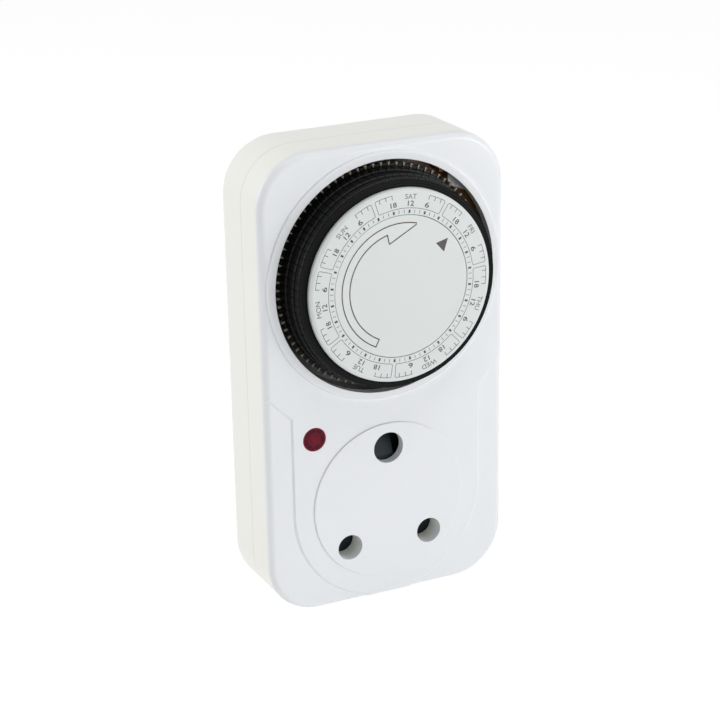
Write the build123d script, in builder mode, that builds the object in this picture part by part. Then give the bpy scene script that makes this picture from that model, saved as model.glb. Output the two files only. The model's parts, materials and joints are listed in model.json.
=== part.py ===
"""Plug-in weekly timer switch: moulded housing, socket, plug pins, dial and mechanism.

Front faces -Y, the plug pins leave towards +Y, +Z is up.  The origin lies on the flat
bottom, under the middle of the width, in the plane where the two shells meet.
Depths are measured backwards from the flat front face.
"""
import os
from math import cos, pi, radians, sin

from build123d import *

# ---------------------------------------------------------------- driving dimensions (mm)
# clearances
seat_gap = 0.3              # between loose neighbours
fit_gap = 0.05              # radial, round parts that fit in each other
touch_gap = 0.1             # between parts that are screwed or clipped together
hole_clearance = 0.29       # radial, round the pins of a plug

# housing
front_depth = 12.5          # front face to the joint between the shells
rear_depth = 13.9           # joint to the back of the body
corner_radius = 15.5
wall = 2.2
soft_edge = 2.0             # rounding of the front and back edges
panel_step = 0.5            # the lower shoulders lie this much behind the face
panel_lean = 50.0           # of the step, from upright
panel_radius = 29.3
panel_rise = 30.1           # from the socket's centre to where the shoulders lean outwards
panel_flare = 10.0
side_land = 1.5             # face left beside the lip of the dial opening
top_land = 2.35             # face left above that lip
lip_width = 2.3
lip_rise = 0.8
lip_edge = 0.55

# socket
socket_height = 30.05
socket_radius = 23.7
socket_rise = 0.5
socket_edge = 0.3
live_drop = 12.4            # line and neutral holes, below the socket's centre
pin_spacing = 25.4
earth_rise = 28.6
live_pin_radius = 3.53
live_pin_length = 18.6
earth_pin_radius = 4.355
earth_pin_length = 28.6
boss_wall = 1.2
boss_back = 6.0

# dial
dial_rise = 67.3            # from the socket's centre to the dial's
dial_front = -10.2          # depth of the printed face
print_radius = 27.6
print_thickness = 1.9
centre_radius = 20.3
rim_step = 0.6              # the drum's rim stands this much outside the printed ring
rim_wall = 2.2
rim_back = 6.4
flange_cover = 0.25         # the drum's front flange hides this much of the tappets
drum_flange = 0.9
web_thickness = 1.2
hub_radius = 5.5
drum_back = 10.4
spindle_radius = 2.5
spindle_collar = 5.0
spindle_front = -8.1
centre_spigot = 1.2
spigot_length = 4.0
clutch_front = 6.2
clutch_width = 5.0
clutch_thickness = 0.4

# switching tappets round the drum
days = ("saturday", "friday", "thursday", "wednesday", "tuesday", "monday", "sunday")
tappets_a_day = 12
first_midnight = 34.75      # clockwise from the top: the end of the first day's sector
tappet_travel = 1.1
tappet_gap = 0.11           # between neighbours, at their feet
tooth_width = 1.5
stem_width = 1.1
stem_reach = 3.3
stem_back = 3.6
tappet_steps = ((-7.3, 0.55), (-4.8, 1.05), (-1.2, 1.6))   # depth and height of each step
step_round = 0.35
tooth_depth = 2.4
tooth_height = 0.75
tappet_back = 4.4
opening_gap = 1.95          # from the teeth to the edge of the dial opening

# wheels
gear_module = 0.8
dial_teeth = 76
pinion_teeth = 12
gear_front = 7.6
gear_thickness = 2.0
gear_web = 1.2
gear_rim = 3.2
gear_windows = (18.0, 5, 5.5)      # circle, number and radius of the windows
collar_front = 4.7
collar_step = 0.45          # the collar stands this much inside the teeth of the tappets
tooth_top = 0.72            # share of the module above and below the pitch circle
tooth_foot = 1.05
tip_share = 0.1             # half a tooth's width at its tip, as a share of the pitch
root_share = 0.3
wheel_module = 0.6
wheel_teeth = 40
motor_teeth = 10
wheel_front = 12.9
wheel_thickness = 1.4
wheel_windows = (6.6, 4, 2.2)
transfer_angle = 150.0      # clockwise from the top, seen from the front
motor_angle = 330.0         # from the transfer shaft to the motor shaft
transfer_shaft_radius = 1.5
motor_shaft_radius = 1.2
shaft_end = 0.4

# chassis and motor
plate_front = 10.6
plate_thickness = 1.8
well_wall = 0.9
well_front = 2.6
well_from = 128.0
well_to = 325.0
lamp_room = 4.25            # from the lamp up to the plate
plate_gap = 0.8             # from the contact carrier to the plate
motor_radius = 19.0
motor_front = 14.9
motor_thickness = 8.0
motor_edge = 1.0
flange_thickness = 1.0
motor_ear = 21.5
motor_ear_angle = 30.0
ear_radius = 3.2

# switch
board_front = 8.0
board_thickness = 1.6
board_gap = 0.25            # from the tappets' teeth to the board
board_left = 8.0
board_rise = 5.65           # lower edge, above the dial's centre
board_screw_xs = (12.0, 21.5)
board_screw_drop = 4.9      # below the top of the housing
board_screw_head = 1.7
board_boss = 1.9
lever_front = 3.0
lever_thickness = 0.8
lever_gap = 0.2             # from the teeth to the lever's tip
lever_tip_angle = 46.0
lever_pivot_place = (31.5, 20.65)  # from the dial's centre, as all places of the lever
lever_foot = ((-3.6, -0.5), (0.4, -2.4), (2.3, 0.6))   # from the pivot
lever_left = 21.4
lever_nick = 23.85
lever_shoulder = 28.7
lever_rise = 25.85
pivot_radius = 1.2
pin_head = 0.5
switch_left = 18.4
switch_right = 26.2
switch_front = 2.5
switch_gap = 1.2            # from the lever up to the switch
switch_tall = 4.4
plunger_x = 25.0
plunger_radius = 0.5
plunger_nose = 0.4
plunger_length = 2.6
plunger_gap = 0.15
plunger_room = 1.3          # depth of the plunger's hole

# shutter
shutter_front = 6.3
shutter_thickness = 2.0
shutter_travel = 9.0
shutter_cover = 0.8         # beyond the edge of the line and neutral holes
arm_width = 9.0
arm_cover = 0.2             # from the earth hole's top down to the arm's end
window_width = 3.6
window_rise = 6.45          # from the live holes' centre line up to the window
window_length = 16.4
ramp_front = 2.6
ramp_flat = 1.4
ramp_width = 6.0
guide_width = 1.2
guide_length = 19.0
guide_drop = 1.65           # middle of the guides, below the live holes' centre line
lug_height = 2.0
spring_radius = 0.95
wire_radius = 0.2
spring_turns = 6

# contacts, carrier and plug
carrier_front = 8.7
carrier_thickness = 3.0
carrier_width = 50.0
carrier_low = 4.2
carrier_corner = 5.0
sleeve_front = 10.3
sleeve_wall = 1.0
slit_width = 1.0
slit_share = 0.75
live_sleeve_back = 22.0
earth_sleeve_back = 29.5
base_thickness = 1.0
stem_radius = 2.0
pedestal_radius = 25.2
pedestal_depth = 12.0
head_thickness = 1.5
head_overhang = 1.0
neck_step = 0.25
pin_nose = 1.2
strap_thickness = 0.8
strap_width = 4.0
strap_inset = 3.0           # from the housing's inner wall to the straps' middle line
strap_rise = 2.65           # upper end, above the dial's centre
strap_eye = 1.2
strap_room = 4.0

# indicator
lamp_offset = 22.9          # left of and above the socket's centre
lens_radius = 3.5
lens_flange = 4.6
lens_rim = 1.0
bulb_radius = 2.1
bulb_length = 8.0
bulb_nose = 1.7
sleeve_length = 4.0
lens_sleeve = 0.6           # wall of the sleeve behind the lens
resistor_radius = 1.4
resistor_edge = 0.45

# override slide in the right side
slide_rise = 1.85           # above the top of the panel's upright steps
slide_depth = 7.0
slide_travel = 4.0
slot_length = 12.0
slot_width = 4.2
knob_length = 7.0
knob_width = 3.4
knob_sunk = 0.3             # the knob's end stays this much inside the side face
knob_edge = 0.5
slide_plate = 1.2
slide_margin = 2.4

# fasteners
post_radius = 3.0
pilot_radius = 1.25
pilot_floor = 1.0
screw_radius = 1.2
screw_head = 2.7
head_depth = 2.0
screw_tip = 2.0
screw_well = 4.1
recess_length = 2.6
recess_width = 0.6
recess_depth = 1.0
small_head = 1.0            # depth of the heads of the motor and board screws
motor_screw_head = 2.0
motor_screw_length = 3.2
upper_post_inset = (7.9, 8.7)      # from the side and from the top
lower_post_inset = (9.0, 9.0)      # from the side and from the bottom
rest_radius = 2.4
lower_rest_inset = (4.0, 3.8)      # from the carrier's side and lower edge
upper_rest_inset = (2.5, 38.8)

# ---------------------------------------------------------------- derived places
live_height = socket_height - live_drop
earth_height = live_height + earth_rise
dial_height = socket_height + dial_rise
rim_radius = print_radius + rim_step
tappet_inner = rim_radius + tappet_travel + touch_gap
step_radii = [tappet_inner + height for _, height in tappet_steps]
tooth_radius = step_radii[-1] + tooth_height
opening_radius = tooth_radius + opening_gap
lip_radius = opening_radius + lip_width
body_width = 2 * (lip_radius + side_land)
body_height = dial_height + lip_radius + top_land
body_depth = front_depth + rear_depth
inner_width = body_width - 2 * wall
inner_height = body_height - 2 * wall
inner_corner = corner_radius - wall
panel_top = socket_height + panel_rise
pin_places = {
    "line": (pin_spacing / 2, live_height, live_pin_radius, live_pin_length),
    "neutral": (-pin_spacing / 2, live_height, live_pin_radius, live_pin_length),
    "earth": (0.0, earth_height, earth_pin_radius, earth_pin_length),
}
pedestal_back = body_depth + pedestal_depth
print_back = dial_front + print_thickness
flange_back = print_back + drum_flange

tappet_pitch = 360.0 / (len(days) * tappets_a_day)
tappet_width = 2 * pi * tappet_inner * tappet_pitch / 360.0 - tappet_gap
slot_angles = [first_midnight + tappet_pitch * (item + 0.5) for item in range(len(days) * tappets_a_day)]

pinion_phase = transfer_angle + 180 + 180 / pinion_teeth
motor_phase = motor_angle + 180 + 180 / motor_teeth
dial_pitch_radius = gear_module * dial_teeth / 2
transfer_reach = gear_module * (dial_teeth + pinion_teeth) / 2
transfer_x = transfer_reach * sin(radians(transfer_angle))
transfer_z = dial_height + transfer_reach * cos(radians(transfer_angle))
motor_reach = wheel_module * (wheel_teeth + motor_teeth) / 2
motor_x = transfer_x + motor_reach * sin(radians(motor_angle))
motor_z = transfer_z + motor_reach * cos(radians(motor_angle))
ear_places = [
    (
        motor_x + side * motor_ear * sin(radians(motor_ear_angle)),
        motor_z + side * motor_ear * cos(radians(motor_ear_angle)),
    )
    for side in (1, -1)
]
well_inner = opening_radius + seat_gap
pinion_room = gear_module * (pinion_teeth / 2 + 1) + 2 * seat_gap
web_front = gear_front + (gear_thickness - gear_web) / 2

lamp_x = -lamp_offset
lamp_height = socket_height + lamp_offset
plate_low = lamp_height + lamp_room
carrier_high = plate_low - plate_gap

live_hole = live_pin_radius + hole_clearance
shutter_width = pin_spacing + 2 * (live_hole + shutter_cover)
shutter_low = live_height - live_hole - shutter_cover
shutter_high = live_height + live_hole + shutter_cover
arm_top = earth_height + earth_pin_radius - arm_cover
window_low = live_height + window_rise
window_high = window_low + window_length
guide_x = shutter_width / 2 + seat_gap + guide_width / 2
guide_places = [(side * guide_x, live_height - guide_drop) for side in (1, -1)]

strap_x = inner_width / 2 - strap_inset
strap_top = dial_height + strap_rise
slide_height = panel_top + slide_rise

board_inner = tooth_radius + board_gap
board_low = dial_height + board_rise
board_screws = [(x, body_height - board_screw_drop) for x in board_screw_xs]
lever_pivot = (lever_pivot_place[0], dial_height + lever_pivot_place[1])
lever_tip_radius = tooth_radius + lever_gap
lever_top = dial_height + lever_rise
switch_low = lever_top + switch_gap
switch_high = switch_low + switch_tall

corner_posts = [
    (side * (body_width / 2 - inset), z)
    for inset, z in (
        (upper_post_inset[0], body_height - upper_post_inset[1]),
        (lower_post_inset[0], lower_post_inset[1]),
    )
    for side in (1, -1)
]
carrier_posts = [
    (side * (carrier_width / 2 - inset), carrier_low + rise)
    for inset, rise in (lower_rest_inset, upper_rest_inset)
    for side in (1, -1)
]
dial_axis = Axis((0, 0, dial_height), (0, 1, 0))


# ---------------------------------------------------------------- helpers
def face(depth):
    """Plane parallel to the front at a depth, with x to the right and y up."""
    return Plane.XZ.offset(front_depth - depth)


def dial_plane(angle):
    """Plane through the dial's axis: x is the radius at a clockwise angle, y the depth."""
    radial = (sin(radians(angle)), 0, cos(radians(angle)))
    tangent = (-cos(radians(angle)), 0, sin(radians(angle)))
    return Plane(origin=(0, -front_depth, dial_height), x_dir=radial, z_dir=tangent)


def at_clock(radius, angle):
    """Place at a radius and clockwise angle round the dial's axis."""
    return (radius * sin(radians(angle)), dial_height + radius * cos(radians(angle)))


def gear_points(teeth, module, phase):
    """Outline of a moulded clock wheel; phase turns its first tooth, clockwise degrees."""
    pitch = module * teeth / 2
    tip = pitch + tooth_top * module
    root = pitch - tooth_foot * module
    step = 2 * pi / teeth
    points = []
    for tooth in range(teeth):
        middle = radians(phase) + tooth * step
        for radius, share in ((root, -root_share), (tip, -tip_share), (tip, tip_share), (root, root_share)):
            angle = middle + share * step
            points.append((radius * sin(angle), radius * cos(angle)))
    return points


def write(node, name):
    """Label a finished piece and write its file."""
    node.part.label = name
    export_step(node.part, f"parts/{name}.step")


os.makedirs("parts", exist_ok=True)


# ---------------------------------------------------------------- front cover
def shell_block(near, far, edge_depth):
    """Solid of the body's outline between two depths, rounded at one of its ends."""
    with BuildPart() as block:
        with BuildSketch(face(near)):
            with Locations((0, body_height / 2)):
                RectangleRounded(body_width, body_height, corner_radius)
        extrude(amount=near - far)
        rim = block.faces().sort_by(Axis.Y)[0 if edge_depth == near else -1]
        fillet(rim.edges(), soft_edge)
    return block.part


with BuildPart() as raised_panel:
    add(shell_block(0, front_depth, 0))
    with BuildSketch(face(0)):
        with Locations((0, socket_height)):
            Circle(panel_radius)
        with BuildLine():
            Polyline(
                (-panel_radius, socket_height),
                (panel_radius, socket_height),
                (panel_radius, panel_top),
                (panel_radius + panel_flare, panel_top + panel_flare),
                (panel_radius + panel_flare, body_height + soft_edge),
                (-panel_radius - panel_flare, body_height + soft_edge),
                (-panel_radius - panel_flare, panel_top + panel_flare),
                (-panel_radius, panel_top),
                close=True,
            )
        make_face()
    extrude(amount=-2 * panel_step, taper=-panel_lean, mode=Mode.INTERSECT)

with BuildPart() as front_cover:
    add(shell_block(panel_step, front_depth, panel_step))
    add(raised_panel.part)
    with BuildSketch(face(0)):
        with Locations((0, dial_height)):
            Circle(lip_radius)
            Circle(opening_radius, mode=Mode.SUBTRACT)
    extrude(amount=lip_rise)
    lip_top = front_cover.faces().sort_by(Axis.Y)[0]
    fillet(lip_top.edges().sort_by(SortBy.RADIUS)[-1], lip_edge)
    with BuildSketch(face(0)):
        with Locations((0, socket_height)):
            Circle(socket_radius)
    extrude(amount=socket_rise)
    socket_face = front_cover.faces().filter_by(Plane.XZ).sort_by(
        lambda item: (item.center() - Vector(0, -front_depth - socket_rise, socket_height)).length
    )[0]
    fillet(socket_face.edges(), socket_edge)
    with BuildSketch(face(front_depth)):
        with Locations((0, body_height / 2)):
            RectangleRounded(inner_width, inner_height, inner_corner)
    extrude(amount=front_depth - wall, mode=Mode.SUBTRACT)
    with BuildSketch(face(wall)):
        for x, z, radius, _ in (pin_places["line"], pin_places["neutral"]):
            with Locations((x, z)):
                Circle(radius + hole_clearance + boss_wall)
    extrude(amount=wall - boss_back)
    with BuildSketch(face(wall)):
        with Locations(*corner_posts):
            Circle(post_radius)
    extrude(amount=wall - front_depth)
    with BuildSketch(face(wall)):
        with Locations(*carrier_posts):
            Circle(rest_radius)
    extrude(amount=wall - carrier_front + touch_gap)
    with BuildSketch(face(wall)):
        with Locations(*guide_places):
            Rectangle(guide_width, guide_length)
    extrude(amount=wall - carrier_front + seat_gap)
    with BuildSketch(face(front_depth)):
        with Locations(*corner_posts):
            Circle(pilot_radius)
    extrude(amount=front_depth - wall - pilot_floor, mode=Mode.SUBTRACT)
    with BuildSketch(face(-soft_edge)):
        with Locations((0, dial_height)):
            Circle(opening_radius)
        with Locations((lamp_x, lamp_height)):
            Circle(lens_radius + fit_gap)
        for x, z, radius, _ in pin_places.values():
            with Locations((x, z)):
                Circle(radius + hole_clearance)
    extrude(amount=-(boss_back + 2 * soft_edge), mode=Mode.SUBTRACT)
    with BuildSketch(Plane.YZ.offset(inner_width / 2 - soft_edge)):
        with Locations((slide_depth - front_depth, slide_height)):
            SlotOverall(slot_length, slot_width, rotation=90)
    extrude(amount=wall + 2 * soft_edge, mode=Mode.SUBTRACT)
write(front_cover, "front_cover")

# ---------------------------------------------------------------- rear cover
with BuildPart() as rear_cover:
    add(shell_block(front_depth, body_depth, body_depth))
    with BuildSketch(face(body_depth)):
        with Locations((0, socket_height)):
            Circle(pedestal_radius)
    extrude(amount=-pedestal_depth)
    pedestal_end = rear_cover.faces().sort_by(Axis.Y)[-1]
    fillet(pedestal_end.edges(), soft_edge)
    with BuildSketch(face(front_depth)):
        with Locations((0, body_height / 2)):
            RectangleRounded(inner_width, inner_height, inner_corner)
    extrude(amount=-(rear_depth - wall), mode=Mode.SUBTRACT)
    with BuildSketch(face(front_depth)):
        with Locations((0, socket_height)):
            Circle(pedestal_radius - wall)
    extrude(amount=-(pedestal_back - wall - front_depth), mode=Mode.SUBTRACT)
    with BuildSketch(face(body_depth - wall)):
        with Locations(*corner_posts):
            Circle(screw_well - touch_gap)
        with Locations(*carrier_posts):
            Circle(rest_radius)
    extrude(amount=body_depth - wall - carrier_front - carrier_thickness - touch_gap)
    with BuildSketch(face(front_depth)):
        with Locations(*corner_posts):
            Circle(screw_well)
    extrude(amount=front_depth, mode=Mode.SUBTRACT)
    with BuildSketch(face(body_depth)):
        with Locations(*corner_posts):
            Circle(screw_radius + hole_clearance)
        for x, z, radius, _ in pin_places.values():
            with Locations((x, z)):
                Circle(radius - neck_step + fit_gap)
    extrude(amount=rear_depth, mode=Mode.SUBTRACT)
    with BuildSketch(face(pedestal_back)):
        for x, z, radius, _ in pin_places.values():
            with Locations((x, z)):
                Circle(radius - neck_step + fit_gap)
    extrude(amount=2 * wall, mode=Mode.SUBTRACT)
    with BuildSketch(face(body_depth)):
        with Locations(*corner_posts):
            Circle(screw_head + hole_clearance)
    extrude(amount=rear_depth - wall, mode=Mode.SUBTRACT)
write(rear_cover, "rear_cover")

# ---------------------------------------------------------------- housing screws
screw_seat = front_depth + wall
with BuildPart() as housing_screws:
    with BuildSketch(face(screw_seat)):
        with Locations(*corner_posts):
            Circle(screw_head)
    extrude(amount=-head_depth)
    with BuildSketch(face(screw_seat)):
        with Locations(*corner_posts):
            Circle(screw_radius)
    extrude(amount=screw_seat - wall - screw_tip)
    with BuildSketch(face(screw_seat + head_depth)):
        with Locations(*corner_posts):
            Rectangle(recess_length, recess_width)
            Rectangle(recess_width, recess_length)
    extrude(amount=recess_depth, mode=Mode.SUBTRACT)
write(housing_screws, "housing_screws")

# ---------------------------------------------------------------- plug pins and contacts
for name, (x, z, radius, length) in pin_places.items():
    stem_front = {"line": body_depth - wall - strap_thickness, "neutral": live_sleeve_back}.get(
        name, earth_sleeve_back
    )
    with BuildPart() as pin:
        with BuildSketch(face(pedestal_back)):
            with Locations((x, z)):
                Circle(radius)
        extrude(amount=-length)
        fillet(pin.edges().group_by(Axis.Y)[-1], pin_nose)
        with BuildSketch(face(pedestal_back - wall)):
            with Locations((x, z)):
                Circle(radius - neck_step)
        extrude(amount=-wall)
        with BuildSketch(face(pedestal_back - wall)):
            with Locations((x, z)):
                Circle(radius + head_overhang)
        extrude(amount=head_thickness)
        with BuildSketch(face(pedestal_back - wall - head_thickness)):
            with Locations((x, z)):
                Circle(stem_radius)
        extrude(amount=pedestal_back - wall - head_thickness - stem_front)
    write(pin, f"{name}_pin")

    sleeve_back = earth_sleeve_back if name == "earth" else live_sleeve_back
    with BuildPart() as contact:
        with BuildSketch(face(sleeve_front)):
            with Locations((x, z)):
                Circle(radius + fit_gap + sleeve_wall)
        extrude(amount=sleeve_front - sleeve_back - base_thickness)
        with BuildSketch(face(sleeve_front)):
            with Locations((x, z)):
                Circle(radius + fit_gap)
        extrude(amount=sleeve_front - sleeve_back, mode=Mode.SUBTRACT)
        with BuildSketch(face(sleeve_front)):
            with Locations((x, z)):
                Rectangle(3 * radius, slit_width)
        extrude(amount=(sleeve_front - sleeve_back) * slit_share, mode=Mode.SUBTRACT)
        if name != "line":
            with BuildSketch(face(sleeve_back + base_thickness)):
                with Locations((x, z)):
                    Circle(stem_radius + fit_gap)
            extrude(amount=base_thickness, mode=Mode.SUBTRACT)
    write(contact, f"{name}_contact")

# ---------------------------------------------------------------- straps to the switch
strap_fronts = {"line": body_depth - wall - strap_thickness, "switched": live_sleeve_back - strap_thickness}
line_x, line_z = pin_places["line"][:2]
for name, depth in strap_fronts.items():
    rivet = stem_radius if name == "line" else live_pin_radius + fit_gap + sleeve_wall
    with BuildPart() as strap:
        with BuildSketch(face(depth)):
            with BuildLine():
                Polyline(
                    (line_x, line_z - strap_width / 2),
                    (strap_x + strap_width / 2, line_z - strap_width / 2),
                    (strap_x + strap_width / 2, strap_top),
                    (strap_x - strap_width / 2, strap_top),
                    (strap_x - strap_width / 2, line_z + strap_width / 2),
                    (line_x, line_z + strap_width / 2),
                    close=True,
                )
            make_face()
            with Locations((line_x, line_z)):
                Circle(rivet + strap_eye)
                Circle(rivet + fit_gap, mode=Mode.SUBTRACT)
        extrude(amount=-strap_thickness)
    write(strap, f"{name}_strap")

# ---------------------------------------------------------------- contact carrier
with BuildPart() as contact_carrier:
    with BuildSketch(face(carrier_front)):
        with Locations((0, (carrier_low + carrier_high) / 2)):
            RectangleRounded(carrier_width, carrier_high - carrier_low, carrier_corner)
        with Locations((lamp_x, lamp_height)):
            Circle(lens_flange + seat_gap, mode=Mode.SUBTRACT)
        with Locations((transfer_x, transfer_z)):
            Circle(pinion_room, mode=Mode.SUBTRACT)
        for x, z, radius, _ in pin_places.values():
            with Locations((x, z)):
                Circle(radius + hole_clearance, mode=Mode.SUBTRACT)
    extrude(amount=-carrier_thickness)
    with BuildSketch(face(sleeve_front - touch_gap)):
        for x, z, radius, _ in pin_places.values():
            with Locations((x, z)):
                Circle(radius + 2 * fit_gap + sleeve_wall)
    extrude(amount=-carrier_thickness, mode=Mode.SUBTRACT)
    with BuildSketch(face(shutter_front)):
        with Locations((0, window_low + seat_gap + lug_height / 2)):
            Rectangle(window_width - 4 * seat_gap, lug_height)
    extrude(amount=shutter_front - carrier_front)
write(contact_carrier, "contact_carrier")

# ---------------------------------------------------------------- shutter and its spring
with BuildPart() as socket_shutter:
    with BuildSketch(face(shutter_front)):
        with Locations((0, (shutter_low + shutter_high) / 2)):
            Rectangle(shutter_width, shutter_high - shutter_low)
        with Locations((0, (shutter_low + arm_top) / 2)):
            Rectangle(arm_width, arm_top - shutter_low)
        with Locations((0, (window_low + window_high) / 2)):
            Rectangle(window_width, window_high - window_low, mode=Mode.SUBTRACT)
    extrude(amount=-shutter_thickness)
    with BuildSketch(Plane.YZ.offset(-ramp_width / 2)):
        with BuildLine():
            Polyline(
                (shutter_front - front_depth, arm_top - shutter_travel),
                (ramp_front - front_depth, arm_top - shutter_travel),
                (ramp_front - front_depth, arm_top - shutter_travel + ramp_flat),
                (shutter_front - front_depth, arm_top),
                close=True,
            )
        make_face()
    extrude(amount=ramp_width)
write(socket_shutter, "socket_shutter")

spring_foot = window_low + seat_gap + lug_height
with BuildPart() as shutter_spring:
    with BuildLine():
        Helix(
            (window_high - spring_foot - 2 * wire_radius - touch_gap) / spring_turns,
            window_high - spring_foot - 2 * wire_radius - touch_gap,
            spring_radius,
            center=(0, shutter_front + shutter_thickness / 2 - front_depth, spring_foot + wire_radius + fit_gap),
        )
    with BuildSketch(
        Plane(
            origin=(
                spring_radius,
                shutter_front + shutter_thickness / 2 - front_depth,
                spring_foot + wire_radius + fit_gap,
            ),
            z_dir=(0, 1, 0),
        )
    ):
        Rectangle(2 * wire_radius, 2 * wire_radius)
    sweep(is_frenet=True)
write(shutter_spring, "shutter_spring")

# ---------------------------------------------------------------- indicator
with BuildPart() as indicator_lens:
    with BuildSketch(face(touch_gap)):
        with Locations((lamp_x, lamp_height)):
            Circle(lens_radius)
    extrude(amount=touch_gap - wall - lens_rim)
    with BuildSketch(face(wall + fit_gap)):
        with Locations((lamp_x, lamp_height)):
            Circle(lens_flange)
    extrude(amount=-lens_rim)
    with BuildSketch(face(wall + lens_rim)):
        with Locations((lamp_x, lamp_height)):
            Circle(bulb_radius + touch_gap + lens_sleeve)
    extrude(amount=-sleeve_length)
    with BuildSketch(face(wall + lens_rim + sleeve_length)):
        with Locations((lamp_x, lamp_height)):
            Circle(bulb_radius + touch_gap)
    extrude(amount=sleeve_length + lens_rim, mode=Mode.SUBTRACT)
write(indicator_lens, "indicator_lens")

bulb_front = wall + touch_gap
with BuildPart() as neon_lamp:
    with BuildSketch(face(bulb_front)):
        with Locations((lamp_x, lamp_height)):
            Circle(bulb_radius)
    extrude(amount=-bulb_length)
    fillet(neon_lamp.edges().group_by(Axis.Y)[0], bulb_nose)
write(neon_lamp, "neon_lamp")

with BuildPart() as lamp_resistor:
    with BuildSketch(Plane.XY.offset(lamp_height + bulb_radius)):
        with Locations((lamp_x, bulb_front + bulb_length + bulb_radius - front_depth)):
            Circle(resistor_radius)
    extrude(amount=-2 * bulb_radius - resistor_radius)
    chamfer(lamp_resistor.edges(), resistor_edge)
    with BuildSketch(face(bulb_front + bulb_length + touch_gap)):
        with Locations((lamp_x, lamp_height)):
            Circle(wire_radius)
    extrude(amount=-bulb_radius)
write(lamp_resistor, "lamp_resistor")

# ---------------------------------------------------------------- override slide
with BuildPart() as override_slide:
    with BuildSketch(Plane.YZ.offset(inner_width / 2 - touch_gap - slide_plate)):
        with Locations((slide_depth - front_depth, slide_height - slide_travel / 2)):
            Rectangle(slot_width + slide_margin, slot_length + slide_travel + slide_margin)
    extrude(amount=slide_plate)
    with BuildSketch(Plane.YZ.offset(inner_width / 2 - touch_gap)):
        with Locations((slide_depth - front_depth, slide_height - slide_travel / 2)):
            SlotOverall(knob_length, knob_width, rotation=90)
    extrude(amount=wall + touch_gap - knob_sunk)
    fillet(override_slide.faces().sort_by(Axis.X)[-1].edges(), knob_edge)
write(override_slide, "override_slide")

# ---------------------------------------------------------------- mechanism plate
def plate_outline():
    """The body's inside outline, cut off above the socket."""
    with BuildSketch() as outline:
        with Locations((0, body_height / 2)):
            RectangleRounded(inner_width - 2 * seat_gap, inner_height - 2 * seat_gap, inner_corner - seat_gap)
        with Locations((0, (plate_low + body_height) / 2)):
            Rectangle(body_width, body_height - plate_low, mode=Mode.INTERSECT)
    return outline.sketch


with BuildPart() as mechanism_plate:
    with BuildSketch(face(plate_front)):
        add(plate_outline())
        with Locations(*corner_posts):
            Circle(screw_well + seat_gap, mode=Mode.SUBTRACT)
        with Locations((body_width / 2, plate_low)):
            Rectangle(
                body_width - 2 * strap_x + strap_width + 2 * seat_gap,
                2 * (strap_top - plate_low + strap_room),
                mode=Mode.SUBTRACT,
            )
    extrude(amount=-plate_thickness)
    with BuildSketch(face(well_front)):
        with Locations((0, dial_height)):
            Circle(well_inner + well_wall)
            Circle(well_inner, mode=Mode.SUBTRACT)
        with BuildLine():
            Line((0, dial_height), at_clock(2 * well_inner, well_from))
            Line((0, dial_height), at_clock(2 * well_inner, well_to))
            Polyline(
                at_clock(2 * well_inner, well_from),
                at_clock(3 * well_inner, (2 * well_from + well_to) / 3),
                at_clock(3 * well_inner, (well_from + 2 * well_to) / 3),
                at_clock(2 * well_inner, well_to),
            )
        make_face(mode=Mode.INTERSECT)
        with Locations((transfer_x, transfer_z)):
            Circle(pinion_room, mode=Mode.SUBTRACT)
    extrude(amount=well_front - plate_front)
    with BuildSketch(face(plate_front + plate_thickness)):
        with Locations(*ear_places):
            Circle(ear_radius)
    extrude(amount=plate_front + plate_thickness - motor_front)
    with BuildSketch(face(motor_front)):
        with Locations(*ear_places):
            Circle(pilot_radius)
    extrude(amount=motor_front - plate_front - pilot_floor, mode=Mode.SUBTRACT)
    with BuildSketch(face(0)):
        with Locations((0, dial_height)):
            Circle(spindle_radius + fit_gap)
        with Locations((transfer_x, transfer_z)):
            Circle(transfer_shaft_radius + fit_gap)
    extrude(amount=-body_depth, mode=Mode.SUBTRACT)
    with BuildSketch(face(board_front + board_thickness)):
        with Locations(*board_screws):
            Circle(board_boss)
    extrude(amount=board_front + board_thickness - plate_front)
    with BuildSketch(face(board_front + board_thickness)):
        with Locations(*board_screws):
            Circle(screw_radius + fit_gap)
    extrude(amount=-plate_thickness * 2, mode=Mode.SUBTRACT)
write(mechanism_plate, "mechanism_plate")

with BuildPart() as plate_screws:
    with BuildSketch(face(board_front)):
        with Locations(*board_screws):
            Circle(board_screw_head)
    extrude(amount=small_head)
    with BuildSketch(face(board_front)):
        with Locations(*board_screws):
            Circle(screw_radius)
    extrude(amount=-(board_thickness + plate_thickness))
write(plate_screws, "board_screws")

# ---------------------------------------------------------------- dial spindle
with BuildPart() as dial_spindle:
    with BuildSketch(face(spindle_front)):
        with Locations((0, dial_height)):
            Circle(spindle_radius)
    extrude(amount=spindle_front - plate_front - plate_thickness)
    with BuildSketch(face(plate_front + plate_thickness)):
        with Locations((0, dial_height)):
            Circle(spindle_collar)
    extrude(amount=-base_thickness)
    with BuildSketch(face(spindle_front)):
        with Locations((0, dial_height)):
            Circle(centre_spigot + fit_gap)
    extrude(amount=-spigot_length - touch_gap, mode=Mode.SUBTRACT)
write(dial_spindle, "dial_spindle")

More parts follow.
